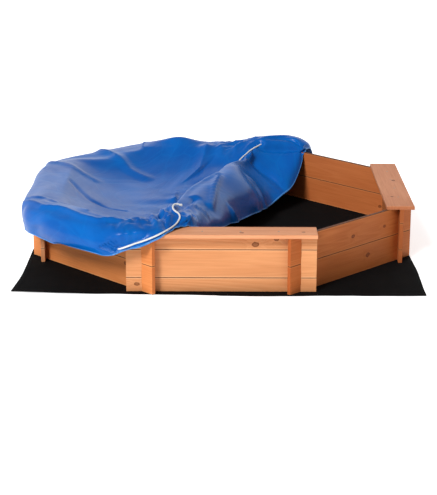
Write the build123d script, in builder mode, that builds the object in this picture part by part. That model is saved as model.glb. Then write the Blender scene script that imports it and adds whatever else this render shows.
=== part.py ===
from build123d import *

import os
from math import cos, pi, radians, sin, sqrt, tan

# Octagonal sandpit: four bench sides and four plain sides of interlocking boards on a ground sheet,
# with a loose cover drawn over the left half. Millimetres, +Z up, the front bench faces -Y.
# The origin is the middle of the octagon, on the underside of the ground sheet.

# Walls
wall_apothem = 652.0  # centre of the pit to the middle of a wall's thickness
board_width = 100.5  # height of a full board
board_thickness = 13.5
board_overrun = 56.0  # length of each board past the corner where it crosses its neighbour
board_edge_break = 1.2
notch_side_gap = 0.4
notch_depth_gap = 0.2

# Seats
seat_width = 101.0
seat_thickness = 13.5
seat_overhang = 39.0  # past the wall's outer face
seat_edge_break = 2.0

# Blocks under the seats, inside the pit
cleat_size = 22.0
cleat_length = 110.0
cleat_inset = 40.0  # from the corner to the block's near end

# Screws
screw_diameter = 3.5
screw_head_diameter = 7.0
screw_sink_angle = 90.0
screw_recess = 0.3
screw_hole_gap = 0.1
screw_point = 4.0
seat_screw_length = 38.0
cleat_screw_length = 30.0
seat_screw_inset = 75.0  # from the corner to the outer screws
seat_screw_count = 4
cleat_screw_inset = 18.0  # from the block's ends

# Ground sheet
sheet_margin = 48.0  # past the middle of the bench walls
sheet_thickness = 1.5

# Cover
cover_thickness = 4.0
cover_side_gap = 8.0  # outside the seats' outer edges
cover_left_bulge = 30.0  # the skirt stands this much out from the left seat
cover_edge_rise = 5.0  # top of the sheet above the seats, along its outline
cover_sag = 62.0
cover_crown = 3.0  # the loose sheet arches a little between its rim and its ridge
cover_hem_height = 112.0
cover_corner_gap = 4.0
cover_hem_lift = 50.0  # the hem is this much higher at the front seat's left end

# Drawstring
cord_diameter = 6.0
knot_diameter = 11.0

corner_angle = 360.0 / 16
corner_offset = wall_apothem * tan(radians(corner_angle))
board_length = 2 * (corner_offset + board_overrun)
wall_base = sheet_thickness
wall_top = wall_base + 2 * board_width
seat_top = wall_top + seat_thickness
seat_outer = wall_apothem + board_thickness / 2 + seat_overhang
seat_inner = seat_outer - seat_width
notch_depth = board_width / 4
sheet_side = 2 * (wall_apothem + sheet_margin)
wall_inner = wall_apothem - board_thickness / 2

bench_sides = {"front": -90.0, "right": 0.0, "back": 90.0, "left": 180.0}
plain_sides = {"front_right": -45.0, "back_right": 45.0, "back_left": 135.0, "front_left": -135.0}


def outward(angle):
    return Vector(cos(radians(angle)), sin(radians(angle)), 0)


def along(angle):
    return Vector(-sin(radians(angle)), cos(radians(angle)), 0)


def corner_points(angle):
    middle = outward(angle) * wall_apothem
    return [(middle + along(angle) * (corner_offset * end), end) for end in (-1, 1)]


def finish(piece, name):
    piece.part.label = name
    export_step(piece.part, f"parts/{name}.step")


os.makedirs("parts", exist_ok=True)


# A countersunk hole whose mouth is at the point, drilled against the outward direction of its plane.
def screw_plane(point, direction, side_direction):
    return Plane(origin=point, x_dir=side_direction, z_dir=direction)


def drill_countersunk(plane, depth):
    with Locations(plane):
        CounterSinkHole(
            radius=screw_diameter / 2 + screw_hole_gap,
            counter_sink_radius=screw_head_diameter / 2 + screw_recess,
            depth=depth,
            counter_sink_angle=screw_sink_angle,
        )


def drill_pilot(plane, depth):
    with Locations(plane):
        Hole(radius=screw_diameter / 2 + screw_hole_gap, depth=depth)


# The profile lies in the plane of the screw's axis: head on top, point at the far end.
def add_screw(plane, length):
    head = screw_head_diameter / 2
    shank = screw_diameter / 2
    cone = (head - shank) / tan(radians(screw_sink_angle / 2))
    top = screw_hole_gap * sqrt(2) - screw_recess
    section = Plane(origin=plane.origin, x_dir=plane.x_dir, z_dir=plane.y_dir * -1)
    with BuildSketch(section) as profile:
        with BuildLine():
            Polyline(
                (0, top),
                (head, top),
                (shank, top - cone),
                (shank, top - length + screw_point),
                (0, top - length),
                close=True,
            )
        make_face()
    revolve(profile.sketch, axis=Axis(plane.origin, plane.z_dir))


seat_screw_reach = corner_offset - seat_screw_inset
seat_screw_step = 2 * seat_screw_reach / (seat_screw_count - 1)
seat_screw_offsets = [-seat_screw_reach + seat_screw_step * n for n in range(seat_screw_count)]
cleat_middle = corner_offset - cleat_inset - cleat_length / 2
cleat_screw_reach = cleat_length / 2 - cleat_screw_inset
cleat_screw_offsets = [end * cleat_middle + way * cleat_screw_reach for end in (-1, 1) for way in (-1, 1)]


def seat_screw_planes(angle, height):
    middle = outward(angle) * wall_apothem + Vector(0, 0, height)
    return [screw_plane(middle + along(angle) * off, Vector(0, 0, 1), along(angle)) for off in seat_screw_offsets]


def cleat_screw_planes(angle, distance, offsets):
    middle = outward(angle) * distance + Vector(0, 0, wall_top - cleat_size / 2)
    return [screw_plane(middle + along(angle) * off, outward(angle) * -1, along(angle)) for off in offsets]


# Each board is half-lapped over its neighbours' boards where it crosses them, above and below.
def make_board(name, angle, bottom, top, notch_bottom, notch_top, holds_seat=False):
    run = along(angle)
    face = Plane(origin=outward(angle) * wall_apothem, x_dir=run, z_dir=outward(angle))
    cuts = []
    if notch_bottom:
        cuts.append((bottom - 1, bottom + notch_depth + notch_depth_gap))
    if notch_top:
        cuts.append((top - notch_depth - notch_depth_gap, top + 1))
    with BuildPart() as board:
        with BuildSketch(face):
            with Locations((0, (bottom + top) / 2)):
                Rectangle(board_length, top - bottom)
        extrude(amount=board_thickness / 2, both=True)
        chamfer(board.edges().filter_by(Axis((0, 0, 0), run)), board_edge_break)
        for corner, end in corner_points(angle):
            crossing = along(angle + 45 * end)
            for low, high in cuts:
                with BuildSketch(Plane(origin=corner + Vector(0, 0, low), x_dir=crossing, z_dir=(0, 0, 1))):
                    Rectangle(4 * board_thickness, board_thickness + 2 * notch_side_gap)
                extrude(amount=high - low, mode=Mode.SUBTRACT)
        if holds_seat:
            for plane in seat_screw_planes(angle, wall_top):
                drill_pilot(plane, seat_screw_length - seat_thickness + 1)
            for plane in cleat_screw_planes(angle, wall_inner, cleat_screw_offsets):
                drill_pilot(plane, cleat_screw_length - cleat_size + 1)
    finish(board, name)


for side, angle in plain_sides.items():
    middle = wall_base + board_width
    make_board(f"{side}_lower_board", angle, wall_base, middle, True, True)
    make_board(f"{side}_upper_board", angle, middle, wall_top, True, True)

for side, angle in bench_sides.items():
    first_joint = wall_base + board_width / 2
    second_joint = wall_top - board_width / 2
    make_board(f"{side}_bottom_board", angle, wall_base, first_joint, False, True)
    make_board(f"{side}_middle_board", angle, first_joint, second_joint, True, True)
    make_board(f"{side}_top_board", angle, second_joint, wall_top, True, False, True)


# Blocks screwed to the inside of the bench walls, close under the seats.
def make_cleat(name, angle, end):
    centre = outward(angle) * (wall_inner - cleat_size / 2) + along(angle) * (end * cleat_middle)
    base = centre + Vector(0, 0, wall_top - cleat_size)
    offsets = [end * cleat_middle + way * cleat_screw_reach for way in (-1, 1)]
    with BuildPart() as cleat:
        with BuildSketch(Plane(origin=base, x_dir=along(angle), z_dir=(0, 0, 1))):
            Rectangle(cleat_length, cleat_size)
        extrude(amount=cleat_size)
        chamfer(cleat.edges().filter_by(Axis((0, 0, 0), along(angle))), board_edge_break)
        for plane in cleat_screw_planes(angle, wall_inner - cleat_size, offsets):
            drill_countersunk(plane, cleat_size)
    finish(cleat, name)


def make_seat(name, angle):
    middle = outward(angle) * (seat_outer - seat_width / 2) + Vector(0, 0, wall_top)
    with BuildPart() as seat:
        with BuildSketch(Plane(origin=middle, x_dir=along(angle), z_dir=(0, 0, 1))):
            Rectangle(board_length, seat_width)
        extrude(amount=seat_thickness)
        chamfer(seat.faces().sort_by(Axis.Z)[-1].edges(), seat_edge_break)
        chamfer(seat.faces().sort_by(Axis.Z)[0].edges(), board_edge_break)
        for plane in seat_screw_planes(angle, seat_top):
            drill_countersunk(plane, seat_thickness)
    finish(seat, name)


for side, angle in bench_sides.items():
    make_cleat(f"{side}_cleat_1", angle, -1)
    make_cleat(f"{side}_cleat_2", angle, 1)
    make_seat(f"{side}_seat", angle)

with BuildPart() as seat_screws:
    for angle in bench_sides.values():
        for plane in seat_screw_planes(angle, seat_top):
            add_screw(plane, seat_screw_length)
finish(seat_screws, "seat_screws")

with BuildPart() as cleat_screws:
    for angle in bench_sides.values():
        for plane in cleat_screw_planes(angle, wall_inner - cleat_size, cleat_screw_offsets):
            add_screw(plane, cleat_screw_length)
finish(cleat_screws, "cleat_screws")

with BuildPart() as ground_sheet:
    with BuildSketch(Plane.XY):
        Rectangle(sheet_side, sheet_side)
    extrude(amount=sheet_thickness)
finish(ground_sheet, "ground_sheet")


# Cover: a shell lofted through cross-sections from the front to the back. Each section runs from the
# left edge over the rim and the sagging panel to a ridge of gathered cloth, and down to the free edge.
cover_front = seat_outer + cover_side_gap
cover_left = seat_outer + cover_left_bulge
cover_corner = board_length / 2 + cover_corner_gap
cover_left_corner = cover_corner + cover_left_bulge / 2

# Places from the front to the back are parts of the pit's half width: 1 is a seat's inner edge and 2 the
# cover's outer edge. Heights are above the seats' tops. Reaches along X are parts of the half width too.
rim_rise = [(-2, 8), (-1.5, 20), (-1.01, 32), (-0.84, 30), (0, 22), (0.84, 16), (1.5, 18), (2, 8)]
ridge_reach = [(-2, -0.402), (-1.01, -0.31), (-0.84, -0.285), (-0.5, -0.268), (0, -0.142), (0.5, 0.092)]
ridge_reach += [(0.84, 0.184), (2, 0.36)]
ridge_rise = [(-2, 8), (-1.4, 7), (-1.01, 14), (-0.92, 34), (-0.84, 46), (-0.5, 16), (0.5, 10), (0.72, -24)]
ridge_rise += [(0.84, -16), (1.01, 8), (1.5, 34), (2, 8)]
free_reach = [(-2, -0.372), (-1.76, -0.327), (-1.58, -0.226), (-0.92, -0.142), (-0.5, -0.04), (0, 0.117)]
free_reach += [(0.5, 0.298), (0.84, 0.503), (1.01, 0.578), (2, 0.612)]
free_rise = [(-2, 5), (-1.01, 5), (-0.92, 6), (-0.5, -80), (0, -130), (0.5, -155), (0.84, -110), (0.955, -6)]
free_rise += [(1.01, 5), (2, 5)]
cover_stations = [-2, -1.76, -1.4, -1.01, -0.92, -0.84, -0.5, 0, 0.5, 0.72, 0.84, 0.955, 1.01, 1.5, 2]
skirt_front_end = seat_inner * free_reach[0][1] - 8
skirt_back_end = seat_inner * free_reach[-1][1] - 5


def station_y(part):
    past = max(0, abs(part) - 1)
    reach = min(abs(part), 1) * seat_inner + past * (cover_front - seat_inner)
    return reach if part > 0 else -reach


def between(value, stops):
    for (low, first), (high, last) in zip(stops, stops[1:]):
        if value <= high:
            return first + (last - first) * (value - low) / (high - low)
    return stops[-1][1]


def cover_section(part):
    y = station_y(part)
    left = -cover_left
    if abs(y) > cover_left_corner:
        left = -between(abs(y), [(cover_left_corner, cover_left), (cover_front, cover_corner)])
    inset = -min(seat_inner - 15, (wall_inner - 15) * sqrt(2) - min(abs(y), seat_inner))
    sag = cover_sag * max(0, 1 - (y / seat_inner) ** 2)
    rim = between(part, rim_rise)
    ridge = (seat_inner * between(part, ridge_reach), between(part, ridge_rise))
    free = (seat_inner * between(part, free_reach), between(part, free_rise))
    slope = ((ridge[0] + free[0]) / 2, (ridge[1] + free[1]) / 2)
    if abs(y) < seat_inner:
        slope = (slope[0] + 14, slope[1] + 8)
    else:
        slope = (slope[0], slope[1] + 1)
    span = ridge[0] - inset
    return [
        (left, cover_edge_rise),
        (left + 0.35 * (inset - left), rim),
        (inset, rim),
        (inset + span * 0.3, rim + cover_crown - sag * 0.8),
        (inset + span * 0.65, rim + 2 * cover_crown - sag),
        ridge,
        slope,
        free,
    ]


with BuildPart() as cover_top:
    left_corner = cover_left_corner / seat_inner
    for part in sorted(cover_stations + [-left_corner, left_corner]):
        upper = cover_section(part)
        lower = [(x, z - cover_thickness) for x, z in reversed(upper)]
        with BuildSketch(Plane(origin=(0, station_y(part), seat_top), x_dir=(1, 0, 0), z_dir=(0, -1, 0))):
            with BuildLine():
                Polyline(*upper, *lower, close=True)
            make_face()
    loft(ruled=True)
finish(cover_top, "cover_top")

# The skirt is sewn to the top along its outline. It hangs outside the seats on the left, and is open
# where the cover is drawn back.
with BuildPart() as cover_skirt:
    with BuildSketch(Plane.XY.offset(cover_hem_height)):
        with BuildLine():
            Polyline(
                (cover_left, -cover_front),
                (-cover_corner, -cover_front),
                (-cover_left, -cover_left_corner),
                (-cover_left, cover_left_corner),
                (-cover_corner, cover_front),
                (cover_left, cover_front),
                close=True,
            )
        make_face()
        offset(amount=-cover_thickness, kind=Kind.INTERSECTION, mode=Mode.SUBTRACT)
        with Locations((skirt_front_end, -cover_front - 1)):
            Rectangle(3 * cover_front, cover_front, align=(Align.MIN, Align.MIN), mode=Mode.SUBTRACT)
        with Locations((skirt_back_end, 0)):
            Rectangle(3 * cover_front, 3 * cover_front, align=(Align.MIN, Align.CENTER), mode=Mode.SUBTRACT)
    extrude(amount=seat_top + cover_edge_rise - cover_thickness - cover_hem_height)
    # At the front the hem climbs towards the seat.
    with BuildSketch(Plane(origin=(0, -2 * cover_front, 0), x_dir=(1, 0, 0), z_dir=(0, -1, 0))):
        with BuildLine():
            Polyline(
                (-cover_left, cover_hem_height),
                (-cover_corner, cover_hem_height + cover_hem_lift),
                (skirt_front_end, seat_top - 2),
                (skirt_front_end + 5, 0),
                (-cover_left, 0),
                close=True,
            )
        make_face()
    extrude(amount=-(2 * cover_front - cover_left_corner), mode=Mode.SUBTRACT)
finish(cover_skirt, "cover_skirt")

# Drawstring: it leaves the hem at the front-left side, follows the hem up on to the front seat and curls
# over the gathered cloth. A second stretch shows between two folds at the back.
drawstring_front_route = [
    (-392, -656, 146),
    (-363, -684, 158),
    (-333, -713, 173),
    (-298, -713, 187),
    (-262, -714, 199),
    (-230, -717, 213),
    (-204, -707, 223),
    (-186, -683, 227),
    (-170, -655, 229),
    (-158, -628, 231),
    (-148, -604, 237),
    (-142, -583, 246),
    (-147, -565, 254),
    (-161, -554, 259),
    (-170, -538, 266),
    (-168, -520, 272),
    (-157, -509, 274),
    (-145, -509, 270),
]
drawstring_back_route = [
    (70, 430, 200),
    (79, 462, 204),
    (97, 497, 210),
    (114, 531, 219),
    (138, 561, 227),
    (163, 588, 233),
]


def corner_radii(points):
    radii = []
    for before, here, after in zip(points, points[1:], points[2:]):
        first = Vector(*here) - Vector(*before)
        second = Vector(*after) - Vector(*here)
        turn = radians(first.get_angle(second))
        radii.append(0.45 * min(first.length, second.length) / tan(turn / 2))
    return radii


def make_cord(name, route):
    radii = corner_radii(route)
    start = Vector(*route[0])
    with BuildPart() as cord:
        with BuildLine() as path:
            FilletPolyline(*route, radius=radii)
        with BuildSketch(Plane(origin=start, z_dir=Vector(*route[1]) - start)):
            Circle(cord_diameter / 2)
        sweep(path=path.wires()[0])
    finish(cord, name)
    print(name, "length", round(path.wires()[0].length), "radii", [round(radius) for radius in radii])
    print(name, "volume over section x length", cord.part.volume / (cord_section * path.wires()[0].length))


cord_section = pi * cord_diameter**2 / 4
make_cord("drawstring_front", drawstring_front_route)
make_cord("drawstring_back", drawstring_back_route)

# The knot's flat side meets the end of the cord.
knot_end = Vector(*drawstring_front_route[-1])
knot_way = (knot_end - Vector(*drawstring_front_route[-2])).normalized()
with BuildPart() as drawstring_knot:
    with BuildSketch(Plane(origin=knot_end, z_dir=knot_way)):
        Circle(knot_diameter / 2)
    extrude(amount=knot_diameter * 0.8)
    fillet(drawstring_knot.edges(), knot_diameter * 0.25)
finish(drawstring_knot, "drawstring_knot")
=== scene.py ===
import math

import bmesh
import bpy
from mathutils import Matrix, Vector, kdtree, noise


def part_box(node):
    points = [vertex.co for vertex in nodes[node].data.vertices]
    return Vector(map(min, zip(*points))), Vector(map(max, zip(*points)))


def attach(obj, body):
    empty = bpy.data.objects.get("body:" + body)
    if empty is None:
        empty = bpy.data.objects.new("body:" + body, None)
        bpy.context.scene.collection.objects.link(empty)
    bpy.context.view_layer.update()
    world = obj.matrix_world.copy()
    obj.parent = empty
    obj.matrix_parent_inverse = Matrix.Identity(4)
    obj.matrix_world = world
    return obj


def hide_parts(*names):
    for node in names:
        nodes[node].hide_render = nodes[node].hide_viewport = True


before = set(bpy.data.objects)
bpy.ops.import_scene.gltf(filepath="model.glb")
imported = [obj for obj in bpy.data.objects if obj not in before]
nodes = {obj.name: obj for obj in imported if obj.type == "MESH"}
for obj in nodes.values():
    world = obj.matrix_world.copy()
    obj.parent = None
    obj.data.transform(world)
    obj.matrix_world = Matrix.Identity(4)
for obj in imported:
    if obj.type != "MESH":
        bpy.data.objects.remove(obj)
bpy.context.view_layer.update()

# Places taken from the frame
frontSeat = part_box("front_seat")
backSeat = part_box("back_seat")
seatTop = frontSeat[1][2]
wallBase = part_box("front_left_lower_board")[0][2]
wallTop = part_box("front_left_upper_board")[1][2]
boardHeight = (wallTop - wallBase) / 2
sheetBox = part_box("ground_sheet")
wallMiddle = 0.652  # from the centre of the pit to the middle of a wall

benchSides = {"front": -90, "right": 0, "back": 90, "left": 180}
plainSides = {"front_right": -45, "back_right": 45, "back_left": 135, "front_left": -135}


view = {"place": (0.01036, -5.44822, 1.62294), "turn": 0.24, "down": 16.983, "roll": 0.116, "lens": 106.93}


def makeCamera():
    data = bpy.data.cameras.new("viewCamera")
    data.sensor_width = 36
    data.lens = view["lens"]
    data.clip_end = 200
    camera = bpy.data.objects.new("viewCamera", data)
    turn = Matrix.Rotation(math.radians(view["turn"]), 4, "Z")
    tilt = Matrix.Rotation(math.radians(90 - view["down"]), 4, "X")
    roll = Matrix.Rotation(math.radians(view["roll"]), 4, "Z")
    camera.matrix_world = Matrix.Translation(view["place"]) @ turn @ tilt @ roll
    bpy.context.collection.objects.link(camera)
    bpy.context.scene.camera = camera


makeCamera()
print("camera set")


def newObject(name, bm, smooth=True):
    mesh = bpy.data.meshes.new(name)
    bm.to_mesh(mesh)
    bm.free()
    for face in mesh.polygons:
        face.use_smooth = smooth
    piece = bpy.data.objects.new(name, mesh)
    bpy.context.collection.objects.link(piece)
    return piece


def smooth(bm, verts, factor):
    bmesh.ops.smooth_vert(bm, verts=verts, factor=factor, use_axis_x=True, use_axis_y=True, use_axis_z=True)


def applyModifiers(piece):
    graph = bpy.context.evaluated_depsgraph_get()
    mesh = bpy.data.meshes.new_from_object(piece.evaluated_get(graph), depsgraph=graph)
    old = piece.data
    piece.modifiers.clear()
    piece.data = mesh
    mesh.name = piece.name
    bpy.data.meshes.remove(old)


drawstring = {
    "diameter": 0.006,
    "front": [
        (-0.392, -0.656, 0.146), (-0.363, -0.684, 0.158), (-0.333, -0.713, 0.173), (-0.298, -0.713, 0.187),
        (-0.262, -0.714, 0.199), (-0.23, -0.717, 0.213), (-0.204, -0.707, 0.223), (-0.186, -0.683, 0.227),
        (-0.17, -0.655, 0.229), (-0.158, -0.628, 0.231), (-0.148, -0.604, 0.237), (-0.142, -0.583, 0.246),
        (-0.147, -0.565, 0.254), (-0.161, -0.554, 0.259), (-0.17, -0.538, 0.266), (-0.168, -0.52, 0.272),
        (-0.157, -0.509, 0.274), (-0.145, -0.509, 0.27),
    ],
    "back": [
        (0.07, 0.43, 0.2), (0.079, 0.462, 0.204), (0.097, 0.497, 0.21),
        (0.114, 0.531, 0.219), (0.138, 0.561, 0.227), (0.163, 0.588, 0.233),
    ],
}


def makeCord(name, route):
    curve = bpy.data.curves.new(name, "CURVE")
    curve.dimensions = "3D"
    curve.bevel_depth = drawstring["diameter"] / 2
    curve.bevel_resolution = 4
    curve.resolution_u = 10
    curve.use_fill_caps = True
    spline = curve.splines.new("NURBS")
    spline.points.add(len(route) - 1)
    for point, place in zip(spline.points, route):
        point.co = (*place, 1)
    spline.order_u = 3
    spline.use_endpoint_u = True
    cord = bpy.data.objects.new(name, curve)
    bpy.context.collection.objects.link(cord)
    return cord


frontCord = makeCord("frontCord", drawstring["front"])
backCord = makeCord("backCord", drawstring["back"])
print("cords laid")


def newGroup(name, inputs, outputs):
    group = bpy.data.node_groups.new(name, "ShaderNodeTree")
    for label, kind, value in inputs:
        socket = group.interface.new_socket(label, in_out="INPUT", socket_type=kind)
        if value is not None:
            socket.default_value = value
    for label, kind in outputs:
        group.interface.new_socket(label, in_out="OUTPUT", socket_type=kind)
    source = group.nodes.new("NodeGroupInput")
    sink = group.nodes.new("NodeGroupOutput")
    return group, source, sink


def addNode(tree, kind, **values):
    node = tree.nodes.new(kind)
    for key, value in values.items():
        if hasattr(node, key):
            setattr(node, key, value)
        else:
            node.inputs[key].default_value = value
    return node


def addNoise(tree, vector, **values):
    node = addNode(tree, "ShaderNodeTexNoise", **values)
    tree.links.new(vector, node.inputs["Vector"])
    return node


def addMath(tree, operation, first, second=None, third=None):
    node = tree.nodes.new("ShaderNodeMath")
    node.operation = operation
    for index, value in enumerate((first, second, third)):
        if value is None:
            continue
        if isinstance(value, (int, float)):
            node.inputs[index].default_value = value
        else:
            tree.links.new(value, node.inputs[index])
    return node.outputs[0]


# A smooth step: the stops are the range of the factor and the two values it turns into.
def addRamp(tree, factor, stops):
    node = tree.nodes.new("ShaderNodeMapRange")
    node.interpolation_type = "SMOOTHSTEP"
    tree.links.new(factor, node.inputs["Value"])
    low, high, first, last = stops
    node.inputs["From Min"].default_value = low
    node.inputs["From Max"].default_value = high
    node.inputs["To Min"].default_value = first
    node.inputs["To Max"].default_value = last
    return node.outputs["Result"]


def addMix(tree, factor, first, second):
    node = tree.nodes.new("ShaderNodeMix")
    node.data_type = "RGBA"
    for socket, value in ((node.inputs[0], factor), (node.inputs[6], first), (node.inputs[7], second)):
        if isinstance(value, (int, float)):
            socket.default_value = value
        elif isinstance(value, tuple):
            socket.default_value = (*value, 1)
        else:
            tree.links.new(value, socket)
    return node.outputs[2]


def newMaterial(name):
    material = bpy.data.materials.new(name)
    material.use_nodes = True
    tree = material.node_tree
    return material, tree, tree.nodes["Principled BSDF"]


def placeGroup(tree, group, **values):
    node = tree.nodes.new("ShaderNodeGroup")
    node.node_tree = group
    for key, value in values.items():
        node.inputs[key].default_value = value
    return node


def addBump(tree, shader, height, strength, distance):
    bump = addNode(tree, "ShaderNodeBump", Strength=strength, Distance=distance)
    tree.links.new(height, bump.inputs["Height"])
    tree.links.new(bump.outputs[0], shader.inputs["Normal"])


# One knot: how dark it is at a point, and how far it pushes the grain aside. X runs along the board.
def makeKnotGroup():
    group, source, sink = newGroup(
        "boardKnot",
        [
            ("Vector", "NodeSocketVector", None),
            ("Centre", "NodeSocketVector", None),
            ("Size", "NodeSocketFloat", 0.01),
        ],
        [("Knot", "NodeSocketFloat"), ("Push", "NodeSocketFloat")],
    )
    offset = addNode(group, "ShaderNodeVectorMath", operation="SUBTRACT")
    group.links.new(source.outputs["Vector"], offset.inputs[0])
    group.links.new(source.outputs["Centre"], offset.inputs[1])
    squeeze = addNode(group, "ShaderNodeVectorMath", operation="MULTIPLY")
    group.links.new(offset.outputs[0], squeeze.inputs[0])
    squeeze.inputs[1].default_value = (0.7, 1.0, 1.0)
    uneven = addNoise(group, source.outputs["Vector"], Scale=95.0, Detail=2.0)
    far = addNode(group, "ShaderNodeVectorMath", operation="LENGTH")
    group.links.new(squeeze.outputs[0], far.inputs[0])
    roughened = addMath(group, "ADD", uneven.outputs["Fac"], 0.55)
    ragged = addMath(group, "MULTIPLY", far.outputs["Value"], roughened)
    part = addMath(group, "DIVIDE", ragged, source.outputs["Size"])
    rim = addRamp(group, part, (0.55, 0.95, 0.72, 1.0))
    inside = addRamp(group, part, (0.95, 1.25, 1.0, 0.0))
    group.links.new(addMath(group, "MULTIPLY", rim, inside), sink.inputs["Knot"])
    nearby = addRamp(group, part, (0.4, 4.5, 1.0, 0.0))
    split = addNode(group, "ShaderNodeSeparateXYZ")
    group.links.new(offset.outputs[0], split.inputs[0])
    side = addMath(group, "SIGN", addMath(group, "ADD", split.outputs[1], split.outputs[2]))
    push = addMath(group, "MULTIPLY", addMath(group, "MULTIPLY", nearby, side), source.outputs["Size"])
    group.links.new(push, sink.inputs["Push"])
    return group


# Grain: the vector runs along the board in X. It gives the growth rings, the pores and broad patches.
def makeGrainGroup():
    group, source, sink = newGroup(
        "boardGrain",
        [
            ("Vector", "NodeSocketVector", None),
            ("Seed", "NodeSocketFloat", 0.0),
            ("Push", "NodeSocketFloat", 0.0),
            ("Ring Scale", "NodeSocketFloat", 1.0),
        ],
        [("Rings", "NodeSocketFloat"), ("Pores", "NodeSocketFloat"), ("Mottle", "NodeSocketFloat")],
    )
    # Each seed is another place in the same block of grain.
    seed, push = source.outputs["Seed"], source.outputs["Push"]
    shift = addNode(group, "ShaderNodeCombineXYZ")
    group.links.new(addMath(group, "MULTIPLY", seed, 3.71), shift.inputs[0])
    group.links.new(addMath(group, "MULTIPLY_ADD", seed, 1.93, push), shift.inputs[1])
    group.links.new(addMath(group, "MULTIPLY_ADD", seed, 0.57, push), shift.inputs[2])
    moved = addNode(group, "ShaderNodeVectorMath", operation="ADD")
    group.links.new(source.outputs["Vector"], moved.inputs[0])
    group.links.new(shift.outputs[0], moved.inputs[1])

    def stretched(scale, detail, roughness):
        mapping = addNode(group, "ShaderNodeMapping")
        mapping.inputs["Scale"].default_value = scale
        group.links.new(moved.outputs[0], mapping.inputs[0])
        pattern = addNoise(group, mapping.outputs[0], Scale=1.0, Detail=detail, Roughness=roughness)
        return pattern.outputs["Fac"]

    wander = stretched((0.45, 8.0, 8.0), 2.0, 0.45)
    bands = addMath(group, "MULTIPLY", wander, addMath(group, "MULTIPLY", source.outputs["Ring Scale"], 26.0))
    folded = addMath(group, "FRACT", bands)
    rise = addRamp(group, folded, (0.0, 0.72, 0.0, 1.0))
    fall = addRamp(group, folded, (0.80, 1.0, 1.0, 0.0))
    strength = addRamp(group, stretched((1.2, 5.0, 5.0), 2.0, 0.5), (0.35, 0.65, 0.25, 1.0))
    rings = addMath(group, "MULTIPLY", addMath(group, "MULTIPLY", rise, fall), strength)
    group.links.new(rings, sink.inputs["Rings"])
    group.links.new(stretched((7.0, 380.0, 380.0), 3.0, 0.6), sink.inputs["Pores"])
    group.links.new(stretched((2.0, 12.0, 12.0), 4.0, 0.55), sink.inputs["Mottle"])
    return group


# Boards stacked in a wall: which board a point is on, and how close it is to the joint between two.
def makeStackGroup():
    group, source, sink = newGroup(
        "boardStack",
        [
            ("Height", "NodeSocketFloat", 0.0),
            ("First Joint", "NodeSocketFloat", 0.0),
            ("Board Height", "NodeSocketFloat", 0.1),
            ("Edge Width", "NodeSocketFloat", 0.002),
        ],
        [("Board", "NodeSocketFloat"), ("Joint", "NodeSocketFloat"), ("Worn", "NodeSocketFloat")],
    )
    level = addMath(group, "SUBTRACT", source.outputs["Height"], source.outputs["First Joint"])
    step = addMath(group, "DIVIDE", level, source.outputs["Board Height"])
    board = addMath(group, "FLOOR", step)
    part = addMath(group, "FRACT", step)
    near = addMath(group, "MINIMUM", part, addMath(group, "SUBTRACT", 1.0, part))
    metres = addMath(group, "MULTIPLY", near, source.outputs["Board Height"])
    edge = addMath(group, "DIVIDE", metres, source.outputs["Edge Width"])
    group.links.new(board, sink.inputs["Board"])
    # This mask places the painted shade of the groove between two boards.
    jointShade = addRamp(group, edge, (0.35, 0.75, 1.0, 0.0))
    group.links.new(jointShade, sink.inputs["Joint"])
    group.links.new(addRamp(group, edge, (1.0, 2.4, 1.0, 0.0)), sink.inputs["Worn"])
    return group


knotGroup = makeKnotGroup()
grainGroup = makeGrainGroup()
stackGroup = makeStackGroup()

# Finishes of the wood: light and dark growth, knots, painted shade in the joints, worn corners and end grain
wood = {
    "light": (0.77, 0.385, 0.185),
    "dark": (0.60, 0.25, 0.10),
    "seatLight": (0.82, 0.445, 0.255),
    "seatDark": (0.66, 0.295, 0.145),
    "knot": (0.11, 0.026, 0.009),
    "jointShade": (0.06, 0.018, 0.008),
    "worn": (0.90, 0.60, 0.36),
    "endGrain": (0.55, 0.22, 0.095),
    "roughness": 0.50,
    "specular": 0.12,
    "ringStrength": 0.55,
    "knotStrength": 0.85,
    "wornStrength": 0.30,
    "jointShadeStrength": 0.85,
    "jointWidth": 0.0026,
    "bump": (0.35, 0.0006),
}


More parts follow.
